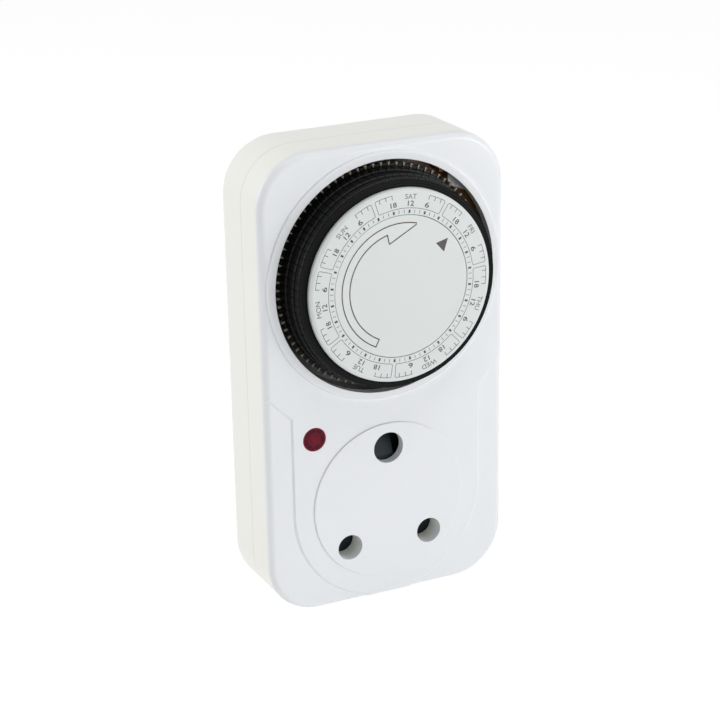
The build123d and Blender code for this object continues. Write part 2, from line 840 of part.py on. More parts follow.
# ---------------------------------------------------------------- dial drum
with BuildPart() as dial_drum:
    with BuildSketch(dial_plane(90)):
        with BuildLine():
            Polyline(
                (spindle_radius + fit_gap, print_back + touch_gap),
                (centre_radius + touch_gap, print_back + touch_gap),
                (centre_radius + touch_gap, print_back),
                (tappet_inner + flange_cover, print_back),
                (tappet_inner + flange_cover, flange_back),
                (rim_radius, flange_back),
                (rim_radius, rim_back),
                (rim_radius - rim_wall, rim_back),
                (rim_radius - rim_wall, print_back + web_thickness),
                (hub_radius, print_back + web_thickness),
                (hub_radius, drum_back),
                (spindle_radius + fit_gap, drum_back),
                close=True,
            )
        make_face()
    revolve(axis=dial_axis)
    with BuildSketch(face(tappet_steps[0][0] - 2 * fit_gap)):
        for angle in slot_angles:
            with Locations(Location((*at_clock(rim_radius - rim_wall / 2, angle), 0), (0, 0, -angle))):
                Rectangle(stem_width + 2 * touch_gap, 2 * rim_wall)
    extrude(amount=tappet_steps[0][0] - 2 * fit_gap - stem_back, mode=Mode.SUBTRACT)
write(dial_drum, "dial_drum")

with BuildPart() as dial_ring:
    with BuildSketch(face(print_back)):
        with Locations((0, dial_height)):
            Circle(print_radius)
            Circle(centre_radius + touch_gap, mode=Mode.SUBTRACT)
    extrude(amount=print_thickness)
    fillet(dial_ring.faces().sort_by(Axis.Y)[0].edges().sort_by(SortBy.RADIUS)[-1], print_thickness / 2)
write(dial_ring, "dial_ring")

with BuildPart() as centre_disc:
    with BuildSketch(face(print_back)):
        with Locations((0, dial_height)):
            Circle(centre_radius - touch_gap)
    extrude(amount=print_thickness - touch_gap)
    with BuildSketch(face(print_back)):
        with Locations((0, dial_height)):
            Circle(centre_spigot)
    extrude(amount=-(spigot_length + spindle_front - print_back))
write(centre_disc, "centre_disc")

# ---------------------------------------------------------------- tappets
def tappet(angle, shift):
    """One switching tappet: stepped skin, rear tooth and the stem that slides in the rim."""
    plane = dial_plane(angle)
    front = tappet_steps[0][0]
    skin = [(tappet_inner + shift, front)]
    ends = [depth for depth, _ in tappet_steps[1:]] + [tappet_back]
    for (depth, _), radius, end in zip(tappet_steps, step_radii, ends):
        skin.append((radius + shift, depth))
        skin.append((radius + shift, end))
    skin.append((tappet_inner + shift, tappet_back))
    last = step_radii[-1]
    with BuildPart() as piece:
        with BuildSketch(plane) as profile:
            with BuildLine():
                Polyline(*skin, close=True)
            make_face()
            leading = profile.vertices().filter_by(
                lambda corner: any(
                    abs(corner.X - radius - shift) < fit_gap and abs(corner.Y - depth) < fit_gap
                    for (depth, _), radius in zip(tappet_steps, step_radii)
                )
            )
            fillet(leading, step_round)
        extrude(amount=tappet_width / 2, both=True)
        with BuildSketch(plane):
            with Locations(((last + tooth_radius) / 2 + shift, (tooth_depth + tappet_back) / 2)):
                Rectangle(tooth_radius - last, tappet_back - tooth_depth)
        extrude(amount=tooth_width / 2, both=True)
        with BuildSketch(plane):
            with Locations((tappet_inner - stem_reach / 2 + shift, (front + stem_back) / 2)):
                Rectangle(stem_reach, stem_back - front - 2 * fit_gap)
        extrude(amount=stem_width / 2, both=True)
    return piece.part


for place, day in enumerate(days):
    angles = slot_angles[(place - 1) * tappets_a_day % len(slot_angles) :][:tappets_a_day]
    if day == "friday":
        for hour, angle in enumerate(reversed(angles)):
            with BuildPart() as single:
                add(tappet(angle, -tappet_travel))
            write(single, f"friday_tappet_{2 * hour:02d}h")
    else:
        with BuildPart() as group:
            for angle in angles:
                add(tappet(angle, 0))
        write(group, f"{day}_tappets")

# ---------------------------------------------------------------- dial gear, clutch and clip
with BuildPart() as dial_gear:
    with BuildSketch(face(gear_front)):
        with Locations((0, dial_height)):
            Polygon(*gear_points(dial_teeth, gear_module, transfer_angle), align=None)
            Circle(dial_pitch_radius - gear_rim, mode=Mode.SUBTRACT)
    extrude(amount=-gear_thickness)
    with BuildSketch(face(collar_front)):
        with Locations((0, dial_height)):
            Circle(tooth_radius - collar_step)
            Circle(rim_radius + seat_gap, mode=Mode.SUBTRACT)
    extrude(amount=collar_front - gear_front + seat_gap)
    with BuildSketch(face(gear_front - seat_gap)):
        with Locations((0, dial_height)):
            Circle(dial_pitch_radius - tooth_foot * gear_module - touch_gap)
            Circle(rim_radius + seat_gap, mode=Mode.SUBTRACT)
    extrude(amount=-seat_gap)
    with BuildSketch(face(web_front)):
        with Locations((0, dial_height)):
            Circle(dial_pitch_radius - gear_rim)
            with PolarLocations(*gear_windows[:2]):
                Circle(gear_windows[2], mode=Mode.SUBTRACT)
            Circle(hub_radius + fit_gap, mode=Mode.SUBTRACT)
    extrude(amount=-gear_web)
write(dial_gear, "dial_gear")

with BuildPart() as clutch_spring:
    with BuildSketch(dial_plane(90)):
        with BuildLine():
            Polyline(
                (hub_radius + touch_gap, clutch_front),
                (hub_radius + touch_gap + clutch_width, web_front - clutch_thickness),
                (hub_radius + touch_gap + clutch_width, web_front),
                (hub_radius + touch_gap, clutch_front + clutch_thickness),
                close=True,
            )
        make_face()
    revolve(axis=dial_axis)
write(clutch_spring, "clutch_spring")

# ---------------------------------------------------------------- transfer shaft and its wheels
with BuildPart() as transfer_shaft:
    with BuildSketch(face(gear_front - shaft_end)):
        with Locations((transfer_x, transfer_z)):
            Circle(transfer_shaft_radius)
    extrude(amount=gear_front - wheel_front - wheel_thickness - 2 * shaft_end)
write(transfer_shaft, "transfer_shaft")

with BuildPart() as transfer_pinion:
    with BuildSketch(face(gear_front)):
        with Locations(Location((transfer_x, transfer_z, 0))):
            Polygon(*gear_points(pinion_teeth, gear_module, pinion_phase), align=None)
            Circle(transfer_shaft_radius + fit_gap / 2, mode=Mode.SUBTRACT)
    extrude(amount=-gear_thickness)
write(transfer_pinion, "transfer_pinion")

with BuildPart() as transfer_wheel:
    with BuildSketch(face(wheel_front)):
        with Locations(Location((transfer_x, transfer_z, 0))):
            Polygon(*gear_points(wheel_teeth, wheel_module, motor_angle), align=None)
            Circle(transfer_shaft_radius + fit_gap / 2, mode=Mode.SUBTRACT)
            with PolarLocations(*wheel_windows[:2]):
                Circle(wheel_windows[2], mode=Mode.SUBTRACT)
    extrude(amount=-wheel_thickness)
write(transfer_wheel, "transfer_wheel")

# ---------------------------------------------------------------- motor
with BuildPart() as motor_can:
    with BuildSketch(face(motor_front + flange_thickness)):
        with Locations((motor_x, motor_z)):
            Circle(motor_radius)
    extrude(amount=-motor_thickness)
    chamfer(motor_can.faces().sort_by(Axis.Y)[-1].edges(), motor_edge)
write(motor_can, "motor_can")

with BuildPart() as motor_flange:
    with BuildSketch(face(motor_front)):
        with Locations((motor_x, motor_z)):
            Circle(motor_radius)
        with Locations(*ear_places):
            Circle(ear_radius)
        with Locations(Location((motor_x, motor_z, 0), (0, 0, -motor_ear_angle))):
            Rectangle(2 * ear_radius, 2 * motor_ear)
        with Locations(*ear_places):
            Circle(screw_radius + hole_clearance / 2, mode=Mode.SUBTRACT)
        with Locations((motor_x, motor_z)):
            Circle(motor_shaft_radius + fit_gap, mode=Mode.SUBTRACT)
    extrude(amount=-flange_thickness)
write(motor_flange, "motor_flange")

with BuildPart() as motor_screws:
    with BuildSketch(face(motor_front + flange_thickness)):
        with Locations(*ear_places):
            Circle(motor_screw_head)
    extrude(amount=-small_head)
    with BuildSketch(face(motor_front + flange_thickness)):
        with Locations(*ear_places):
            Circle(screw_radius)
    extrude(amount=motor_screw_length)
write(motor_screws, "motor_screws")

with BuildPart() as motor_pinion:
    with BuildSketch(face(wheel_front)):
        with Locations(Location((motor_x, motor_z, 0))):
            Polygon(*gear_points(motor_teeth, wheel_module, motor_phase), align=None)
    extrude(amount=-wheel_thickness)
    with BuildSketch(face(wheel_front + wheel_thickness)):
        with Locations((motor_x, motor_z)):
            Circle(motor_shaft_radius)
    extrude(amount=wheel_front + wheel_thickness - motor_front - flange_thickness + touch_gap)
write(motor_pinion, "motor_pinion")

# ---------------------------------------------------------------- switch board, lever and switch
with BuildPart() as switch_board:
    with BuildSketch(face(board_front)):
        add(plate_outline())
        with Locations((board_left + body_width / 2, board_low + body_height / 2)):
            Rectangle(body_width, body_height, mode=Mode.INTERSECT)
        with Locations((0, dial_height)):
            Circle(board_inner, mode=Mode.SUBTRACT)
        with Locations(corner_posts[0]):
            Circle(post_radius + seat_gap, mode=Mode.SUBTRACT)
        with Locations(*board_screws):
            Circle(screw_radius + fit_gap, mode=Mode.SUBTRACT)
        with Locations(lever_pivot):
            Circle(pivot_radius + fit_gap, mode=Mode.SUBTRACT)
    extrude(amount=-board_thickness)
write(switch_board, "switch_board")

pin_front = lever_front - touch_gap - pin_head
with BuildPart() as lever_pin:
    with BuildSketch(face(pin_front)):
        with Locations(lever_pivot):
            Circle(pivot_radius + pin_head)
    extrude(amount=-pin_head)
    with BuildSketch(face(pin_front)):
        with Locations(lever_pivot):
            Circle(pivot_radius)
    extrude(amount=pin_front - board_front - board_thickness - pin_head)
    with BuildSketch(face(lever_front + lever_thickness + touch_gap)):
        with Locations(lever_pivot):
            Circle(pivot_radius + pin_head)
    extrude(amount=lever_front + lever_thickness + touch_gap - board_front)
write(lever_pin, "lever_pin")

with BuildPart() as switch_lever:
    with BuildSketch(face(lever_front)):
        with BuildLine():
            Polyline(
                at_clock(lever_tip_radius, lever_tip_angle),
                *[(lever_pivot[0] + x, lever_pivot[1] + z) for x, z in lever_foot],
                (lever_shoulder, lever_top),
                (lever_left, lever_top),
                (lever_left, dial_height + lever_nick),
                close=True,
            )
        make_face()
        with Locations(lever_pivot):
            Circle(pivot_radius + fit_gap, mode=Mode.SUBTRACT)
    extrude(amount=-lever_thickness)
write(switch_lever, "switch_lever")

plunger_depth = lever_front + lever_thickness / 2 - front_depth
with BuildPart() as switch_body:
    with BuildSketch(face(switch_front)):
        with Locations(((switch_left + switch_right) / 2, (switch_low + switch_high) / 2)):
            Rectangle(switch_right - switch_left, switch_high - switch_low)
    extrude(amount=switch_front - board_front)
    fillet(switch_body.edges().filter_by(Axis.Y), seat_gap)
    with BuildSketch(Plane.XY.offset(switch_low)):
        with Locations((plunger_x, plunger_depth)):
            Circle(plunger_radius + touch_gap)
    extrude(amount=plunger_length + plunger_room, mode=Mode.SUBTRACT)
write(switch_body, "switch_body")

with BuildPart() as switch_plunger:
    with BuildSketch(Plane.XY.offset(lever_top + plunger_gap)):
        with Locations((plunger_x, plunger_depth)):
            Circle(plunger_radius)
    extrude(amount=plunger_length)
    fillet(switch_plunger.edges().group_by(Axis.Z)[0], plunger_nose)
write(switch_plunger, "switch_plunger")
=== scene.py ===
import json
import math

import bmesh
import bpy
from mathutils import Matrix, Vector


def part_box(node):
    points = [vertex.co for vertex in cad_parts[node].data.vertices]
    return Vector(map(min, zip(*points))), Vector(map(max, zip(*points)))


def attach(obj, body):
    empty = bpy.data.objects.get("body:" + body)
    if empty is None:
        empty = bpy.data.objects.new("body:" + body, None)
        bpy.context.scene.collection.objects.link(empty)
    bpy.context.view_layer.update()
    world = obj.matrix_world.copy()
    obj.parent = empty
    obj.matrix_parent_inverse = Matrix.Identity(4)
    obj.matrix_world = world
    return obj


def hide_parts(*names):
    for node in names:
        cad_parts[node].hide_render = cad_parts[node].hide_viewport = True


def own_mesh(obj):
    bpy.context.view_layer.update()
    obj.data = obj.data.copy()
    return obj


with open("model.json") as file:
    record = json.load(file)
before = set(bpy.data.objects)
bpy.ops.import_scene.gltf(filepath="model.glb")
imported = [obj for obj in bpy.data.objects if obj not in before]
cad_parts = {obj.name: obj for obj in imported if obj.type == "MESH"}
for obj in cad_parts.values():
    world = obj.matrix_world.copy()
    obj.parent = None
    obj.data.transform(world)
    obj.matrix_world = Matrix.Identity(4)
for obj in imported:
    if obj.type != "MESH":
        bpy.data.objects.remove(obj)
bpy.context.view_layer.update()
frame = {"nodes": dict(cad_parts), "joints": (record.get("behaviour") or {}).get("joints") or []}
nodes = frame["nodes"]

MM = 0.001

# ---------------------------------------------------------------- places, from the frame
dial = Vector(next(j["pos_m"] for j in frame["joints"] if j["name"] == "dial_spin"))
ring_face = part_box("dial_ring")[0].y
disc_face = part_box("centre_disc")[0].y
cover_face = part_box("front_cover")[0].y
collar_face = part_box("dial_gear")[0].y


# ---------------------------------------------------------------- camera and lights
CAMERA_PLACE = (-0.2489, -0.5151, 0.27785)
CAMERA_YAW = 0.4465
CAMERA_PITCH = 0.3504
CAMERA_ROLL = -0.0194
CAMERA_LENS = 105.97


def make_camera():
    data = bpy.data.cameras.new("camera")
    camera = bpy.data.objects.new("camera", data)
    bpy.context.scene.collection.objects.link(camera)
    bpy.context.scene.camera = camera
    data.sensor_width = 36.0
    data.lens = CAMERA_LENS
    data.clip_start = 0.01
    turn = (
        Matrix.Rotation(CAMERA_ROLL, 3, "Y")
        @ Matrix.Rotation(CAMERA_PITCH, 3, "X")
        @ Matrix.Rotation(CAMERA_YAW, 3, "Z")
    )
    right, forward, up = turn
    axes = Matrix((right, up, -forward)).transposed()
    camera.matrix_world = Matrix.Translation(CAMERA_PLACE) @ axes.to_4x4()


def area_light(name, place, size, power, target=(0.0, 0.0, 0.07)):
    data = bpy.data.lights.new(name, "AREA")
    data.shape = "RECTANGLE"
    data.size, data.size_y = size
    data.energy = power
    lamp = bpy.data.objects.new(name, data)
    bpy.context.scene.collection.objects.link(lamp)
    lamp.location = place
    lamp.rotation_mode = "QUATERNION"
    lamp.rotation_quaternion = (Vector(target) - Vector(place)).to_track_quat("-Z", "Y")


# ---------------------------------------------------------------- material helpers
class Nodes:
    """A material's node tree, with short calls that add and link its nodes."""

    def __init__(self, name, colour, roughness, metallic=0.0):
        self.material = bpy.data.materials.new(name)
        self.material.use_nodes = True
        self.tree = self.material.node_tree
        self.shader = self.tree.nodes["Principled BSDF"]
        self.shader.inputs["Base Color"].default_value = (*colour, 1)
        self.shader.inputs["Roughness"].default_value = roughness
        self.shader.inputs["Metallic"].default_value = metallic
        self.colour = colour
        self.place = self.add("ShaderNodeTexCoord").outputs["Object"]

    def add(self, kind, **settings):
        node = self.tree.nodes.new(kind)
        for name, value in settings.items():
            setattr(node, name, value)
        return node

    def link(self, source, target):
        self.tree.links.new(source, target)

    def noise(self, scale, detail=3.0, stretch=(1, 1, 1)):
        mapping = self.add("ShaderNodeMapping")
        mapping.inputs["Scale"].default_value = stretch
        self.link(self.place, mapping.inputs["Vector"])
        noise = self.add("ShaderNodeTexNoise")
        noise.inputs["Scale"].default_value = scale
        noise.inputs["Detail"].default_value = detail
        self.link(mapping.outputs["Vector"], noise.inputs["Vector"])
        return noise.outputs["Fac"]

    def radius(self, centre):
        """Distance from a line along Y through a place."""
        flat = self.add("ShaderNodeVectorMath", operation="MULTIPLY_ADD")
        flat.inputs[1].default_value = (1, 0, 1)
        flat.inputs[2].default_value = (-centre.x, 0, -centre.z)
        self.link(self.place, flat.inputs[0])
        length = self.add("ShaderNodeVectorMath", operation="LENGTH")
        self.link(flat.outputs["Vector"], length.inputs[0])
        return length.outputs["Value"]

    def grooves(self, centre, pitch, depth):
        """Fine turned grooves round a line along Y."""
        turns = self.add("ShaderNodeMath", operation="MULTIPLY")
        turns.inputs[1].default_value = 2 * math.pi / pitch
        self.link(self.radius(centre), turns.inputs[0])
        wave = self.add("ShaderNodeMath", operation="SINE")
        self.link(turns.outputs["Value"], wave.inputs[0])
        self.bump(wave.outputs["Value"], depth)

    def spread(self, value, low, high):
        """Maps a noise value to a range."""
        scaled = self.add("ShaderNodeMapRange")
        scaled.inputs["From Min"].default_value = 0.3
        scaled.inputs["From Max"].default_value = 0.7
        scaled.inputs["To Min"].default_value = low
        scaled.inputs["To Max"].default_value = high
        self.link(value, scaled.inputs["Value"])
        return scaled.outputs["Result"]

    def tint(self, value, other, share=1.0):
        """Mixes the base colour towards another by a value."""
        mix = self.add("ShaderNodeMix", data_type="RGBA")
        mix.inputs["A"].default_value = (*self.colour, 1)
        mix.inputs["B"].default_value = (*other, 1)
        amount = self.spread(value, 0.0, share)
        self.link(amount, mix.inputs["Factor"])
        self.link(mix.outputs["Result"], self.shader.inputs["Base Color"])
        return mix

    def rough(self, value, low, high):
        self.link(self.spread(value, low, high), self.shader.inputs["Roughness"])

    def bump(self, value, height, strength=1.0):
        bump = self.add("ShaderNodeBump")
        bump.inputs["Distance"].default_value = height
        bump.inputs["Strength"].default_value = strength
        self.link(value, bump.inputs["Height"])
        before = self.shader.inputs["Normal"]
        if before.is_linked:
            self.link(before.links[0].from_socket, bump.inputs["Normal"])
        self.link(bump.outputs["Normal"], before)


def moulded(name, colour, roughness, grain=900.0, depth=4e-6, shade=0.93, shine=0.5):
    """Moulded plastic: fine spark-eroded grain, faint flow marks and slight colour drift."""
    made = Nodes(name, colour, roughness)
    made.shader.inputs["Specular IOR Level"].default_value = shine
    made.tint(made.noise(14.0), tuple(shade * c for c in colour))
    made.rough(made.noise(60.0), roughness * 0.85, roughness * 1.2)
    made.bump(made.noise(grain, 2.0), depth)
    made.bump(made.noise(25.0, 1.0), 1.5e-5, 0.4)
    return made


def metal(name, colour, roughness, stretch=(1, 1, 1)):
    """Plated or drawn metal with fine lines along one way."""
    made = Nodes(name, colour, roughness, metallic=1.0)
    made.tint(made.noise(40.0), tuple(0.8 * c for c in colour))
    made.rough(made.noise(700.0, 3.0, stretch), roughness * 0.7, roughness * 1.4)
    made.bump(made.noise(900.0, 3.0, stretch), 3e-6)
    return made


def paint(made, *names):
    """Gives CAD nodes a material."""
    for name in names:
        slots = nodes[name].data.materials
        slots.clear()
        slots.append(made.material)


def add_piece(name, mesh, made, body):
    """Turns a bmesh into a piece that rides on a body."""
    bmesh.ops.recalc_face_normals(mesh, faces=mesh.faces)
    data = bpy.data.meshes.new(name)
    mesh.to_mesh(data)
    mesh.free()
    data.materials.append(made.material)
    piece = bpy.data.objects.new(name, data)
    bpy.context.scene.collection.objects.link(piece)
    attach(piece, body)
    return piece


def join_rings(mesh, rings, smooth=False):
    """Closes a row of rings of points into a solid with flat ends."""
    mesh.faces.new(rings[0])
    mesh.faces.new(rings[-1])
    sides = len(rings[0])
    for first, last in zip(rings, rings[1:]):
        for side in range(sides):
            following = (side + 1) % sides
            face = mesh.faces.new((first[side], first[following], last[following], last[side]))
            face.smooth = smooth


# ---------------------------------------------------------------- materials
SHELL_FACE = (0.84, 0.86, 0.885)
# Painted warm light: the colour of the sides and back, which face away from the front.
SHELL_SIDE_PAINTED_LIGHT = (0.87, 0.87, 0.825)
BLACK = (0.0072, 0.0076, 0.0078)
TAPPET_BLACK = (0.0045, 0.0048, 0.0050)
PRINT_WHITE = (0.70, 0.735, 0.73)
INK = (0.058, 0.05, 0.048)
INK_PALE = (0.11, 0.105, 0.10)
INK_BROWN = (0.075, 0.04, 0.022)
GROOVE_PITCH = 0.7 * MM
GROOVE_DEPTH = 0.025 * MM
SEAM_HALF_WIDTH = 0.14 * MM
SEAM_SHADE = 0.72
# Where the painted warm light on the sides begins behind the front face, and where it is full.
FACE_EDGE = cover_face + 2.0 * MM
SIDE_EDGE = cover_face + 4.5 * MM


def shell_plastic():
    """White housing plastic, with painted warm light on the sides and back, and the dark seam of the two
    shells.
    """
    made = moulded("shell", SHELL_FACE, 0.36, shade=0.97)
    split = made.add("ShaderNodeSeparateXYZ")
    made.link(made.place, split.inputs["Vector"])
    normal = made.add("ShaderNodeSeparateXYZ")
    made.link(made.add("ShaderNodeTexCoord").outputs["Normal"], normal.inputs["Vector"])
    # Painted warm light: surfaces that face away from the front and lie behind the face's edge take the side
    # colour.
    facing = made.add("ShaderNodeMapRange")
    facing.inputs["From Min"].default_value = -0.9
    facing.inputs["From Max"].default_value = -0.5
    made.link(normal.outputs["Y"], facing.inputs["Value"])
    behind = made.add("ShaderNodeMapRange")
    behind.inputs["From Min"].default_value = FACE_EDGE
    behind.inputs["From Max"].default_value = SIDE_EDGE
    made.link(split.outputs["Y"], behind.inputs["Value"])
    share = made.add("ShaderNodeMath", operation="MULTIPLY")
    made.link(facing.outputs["Result"], share.inputs[0])
    made.link(behind.outputs["Result"], share.inputs[1])
    warm = made.add("ShaderNodeMix", data_type="RGBA")
    before = made.shader.inputs["Base Color"].links[0].from_socket
    made.link(share.outputs["Value"], warm.inputs["Factor"])
    made.link(before, warm.inputs["A"])
    warm.inputs["B"].default_value = (*SHELL_SIDE_PAINTED_LIGHT, 1)
    distance = made.add("ShaderNodeMath", operation="ABSOLUTE")
    made.link(split.outputs["Y"], distance.inputs[0])
    seam = made.add("ShaderNodeMapRange")
    seam.inputs["From Min"].default_value = SEAM_HALF_WIDTH * 0.5
    seam.inputs["From Max"].default_value = SEAM_HALF_WIDTH
    seam.inputs["To Min"].default_value = SEAM_SHADE
    seam.inputs["To Max"].default_value = 1.0
    made.link(distance.outputs["Value"], seam.inputs["Value"])
    darkened = made.add("ShaderNodeMix", data_type="RGBA", blend_type="MULTIPLY")
    darkened.inputs["Factor"].default_value = 1.0
    made.link(warm.outputs["Result"], darkened.inputs["A"])
    made.link(seam.outputs["Result"], darkened.inputs["B"])
    made.link(darkened.outputs["Result"], made.shader.inputs["Base Color"])
    made.bump(seam.outputs["Result"], 1.2e-4)
    made.shader.inputs["Subsurface Weight"].default_value = 0.04
    made.shader.inputs["Subsurface Scale"].default_value = 0.002
    return made


LENS_RADIUS = 3.5 * MM
# Painted light and shade across the lens, from its middle to its edge: a brighter middle, a painted dark ring
# of shade and a painted highlight at the edge.
LENS_PAINTED_LIGHT = (
    (0.00, (0.14, 0.007, 0.017)),
    (0.50, (0.12, 0.006, 0.018)),
    (0.72, (0.035, 0.003, 0.011)),
    (0.86, (0.060, 0.003, 0.013)),
    (1.00, (0.34, 0.008, 0.020)),
)


def lens_plastic():
    """Deep red lens with painted light and shade: a brighter middle, a painted dark ring of shade where its
    bore begins and a painted highlight at its edge.
    """
    made = Nodes("lens", (0.085, 0.003, 0.009), 0.22)
    low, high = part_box("indicator_lens")
    share = made.add("ShaderNodeMapRange")
    share.inputs["From Max"].default_value = LENS_RADIUS
    made.link(made.radius((low + high) / 2), share.inputs["Value"])
    ramp = made.add("ShaderNodeValToRGB")
    stops = ramp.color_ramp.elements
    stops[0].position, stops[1].position = 0, 1
    for place, _ in LENS_PAINTED_LIGHT[1:-1]:
        stops.new(place)
    for stop, (_, colour) in zip(stops, LENS_PAINTED_LIGHT):
        stop.color = (*colour, 1)
    made.link(share.outputs["Result"], ramp.inputs["Fac"])
    sparkle = made.tint(made.noise(900.0), (0.20, 0.02, 0.04), 0.35)
    made.link(ramp.outputs["Color"], sparkle.inputs["A"])
    made.bump(made.noise(600.0), 1.5e-5)
    made.shader.inputs["Specular IOR Level"].default_value = 0.12
    return made


shell = shell_plastic()
drum_black = moulded("drum", BLACK, 0.38, grain=700.0, depth=6e-6, shade=0.7, shine=0.06)
drum_black.grooves(dial, GROOVE_PITCH, GROOVE_DEPTH)
tappet_black = moulded("tappet", TAPPET_BLACK, 0.35, grain=500.0, depth=1e-5, shade=0.75, shine=0.18)
print_white = moulded("print", PRINT_WHITE, 0.42, depth=2e-6, shade=0.985)
ivory = moulded("ivory", (0.50, 0.43, 0.25), 0.40, shade=0.85)
# A darker copy of the gear's ivory for its ribs: painted shade of the well that they stand in.
ivory_painted_shade = moulded("ivory_painted_shade", (0.31, 0.29, 0.215), 0.40, shade=0.85)
phenolic = moulded("phenolic", (0.32, 0.145, 0.045), 0.42, grain=300.0, depth=1.5e-5, shade=0.6)
chassis = moulded("chassis", (0.10, 0.10, 0.103), 0.28, shade=0.85)
grey = moulded("grey", (0.016, 0.024, 0.027), 0.45, shade=0.85, shine=0.2)
resistor = moulded("resistor", (0.45, 0.30, 0.16), 0.45, shade=0.7)
steel = metal("steel", (0.55, 0.55, 0.54), 0.34, stretch=(1, 1, 12))
dull_steel = metal("dull_steel", (0.36, 0.34, 0.36), 0.52, stretch=(1, 1, 12))
wire = metal("wire", (0.62, 0.62, 0.62), 0.25)
brass = metal("brass", (0.80, 0.60, 0.28), 0.26, stretch=(1, 10, 1))
copper = metal("copper", (0.75, 0.50, 0.28), 0.32, stretch=(8, 1, 1))
lens = lens_plastic()
glass = Nodes("lamp_glass", (0.95, 0.75, 0.55), 0.06)
glass.bump(glass.noise(300.0), 4e-6)
glass.shader.inputs["Transmission Weight"].default_value = 0.9

tappet_nodes = [name for name in nodes if "tappet" in name]
paint(shell, "front_cover", "rear_cover")
paint(drum_black, "dial_drum", "override_slide")
paint(tappet_black, *tappet_nodes)
paint(print_white, "dial_ring", "centre_disc")
paint(ivory, "dial_gear", "transfer_pinion", "transfer_wheel")
paint(phenolic, "switch_board", "switch_body")
paint(chassis, "mechanism_plate")
paint(grey, "contact_carrier", "socket_shutter", "switch_plunger")
paint(resistor, "lamp_resistor")
paint(steel, "housing_screws", "board_screws", "motor_screws", "motor_can", "motor_flange")
paint(steel, "dial_spindle", "transfer_shaft", "lever_pin")
paint(dull_steel, "switch_lever")
paint(wire, "shutter_spring", "clutch_spring")
paint(brass, "line_pin", "neutral_pin", "earth_pin", "motor_pinion")
paint(copper, "line_contact", "neutral_contact", "earth_contact", "line_strap", "switched_strap")
paint(lens, "indicator_lens")
paint(glass, "neon_lamp")


# ---------------------------------------------------------------- printing on the dial
INK_LIFT = 0.02 * MM
INK_THICKNESS = 0.03 * MM
DAYS = ("SAT", "FRI", "THU", "WED", "TUE", "MON", "SUN")
NOON_ANGLE = 6.9
DAY_ANGLE = 360 / len(DAYS)
HOUR_ANGLE = DAY_ANGLE / 24
LINE = 0.13 * MM


def on_dial(radius, angle):
    """Place in the dial's plane, at a radius and clockwise angle."""
    turn = math.radians(angle)
    return Vector((radius * math.sin(turn), radius * math.cos(turn)))


class Ink:
    """Flat printed shapes gathered in one thin mesh that lies on a face."""

    def __init__(self, name, body, slot, material, face):
        self.mesh = bmesh.new()
        self.name, self.body, self.slot = name, body, slot
        self.material, self.face = material, face

    def polygon(self, points):
        y = self.face - INK_LIFT
        corners = [self.mesh.verts.new((dial.x + p.x, y, dial.z + p.y)) for p in points]
        self.mesh.faces.new(corners)

    def stroke(self, start, end, width=LINE):
        """A straight line from one place to another."""
        along = (end - start).normalized() * width / 2
        side = Vector((along.y, -along.x))
        self.polygon([start - side, end - side, end + side, start + side])

    def arc(self, radius, start, end, width=LINE, step=2.0):
        """A line along the dial, clockwise from one angle to another."""
        count = max(1, round((end - start) / step))
        for item in range(count):
            first = start + (end - start) * item / count
            last = start + (end - start) * (item + 1) / count
            low, high = radius - width / 2, radius + width / 2
            corners = ((low, first), (high, first), (high, last), (low, last))
            self.polygon([on_dial(r, a) for r, a in corners])

    def text(self, words, height, radius, angle, stretch=1.04, bold=0.0):
        """Words centred at a place on the dial, with their feet towards its centre."""
        curve = bpy.data.curves.new("words", "FONT")
        curve.body = words
        curve.size = height / 0.7
        curve.offset = bold
        curve.align_x = "CENTER"
        curve.resolution_u = 3
        holder = bpy.data.objects.new("words", curve)
        bpy.context.scene.collection.objects.link(holder)
        bpy.context.view_layer.update()
        flat = bpy.data.meshes.new_from_object(holder)
        bpy.data.objects.remove(holder)
        turn = math.radians(angle)
        centre = on_dial(radius, angle)
        right = Vector((math.cos(turn), -math.sin(turn))) * stretch
        up = Vector((math.sin(turn), math.cos(turn)))
        points = [centre + right * v.co.x + up * (v.co.y - height / 2) for v in flat.vertices]
        for face in flat.polygons:
            self.polygon([points[index] for index in face.vertices])
        bpy.data.meshes.remove(flat)

    def finish(self):
        """Gives the shapes their thickness and adds them as one piece."""
        bmesh.ops.recalc_face_normals(self.mesh, faces=self.mesh.faces)
        solid = bmesh.ops.extrude_face_region(self.mesh, geom=self.mesh.faces[:])
        moved = [item for item in solid["geom"] if isinstance(item, bmesh.types.BMVert)]
        bmesh.ops.translate(self.mesh, vec=(0, INK_LIFT + INK_THICKNESS, 0), verts=moved)
        add_piece(self.name, self.mesh, self.material, self.body)


def ink(name, colour):
    """Printing ink, slightly uneven."""
    made = Nodes(name, colour, 0.5)
    made.tint(made.noise(2500.0), tuple(1.5 * c for c in colour), 0.6)
    return made


TICK_LINE = 22.2 * MM
BOX_LINE = 26.2 * MM
COMB = 1.2 * MM
COMB_LINE = 0.17 * MM
BOX_GAP = 1.35                          # degrees from midnight to a box's closed end
BOX_CORNER = 0.45 * MM
CORNER_STEPS = 4
NUMBER_PLACE = 23.5 * MM
DAY_PLACE = 25.4 * MM
LETTER_HEIGHT = 1.42 * MM
NUMBER_BOLD = 0.022 * MM
NUMBERS = ((-6, "18", 1.18), (0, "12", 1.18), (6, "6", 1.5))
TICK_START = 20.8 * MM
LONG_TICK = (21.75 * MM, 0.14 * MM)
BOLD_TICK = (21.68 * MM, 0.56 * MM)


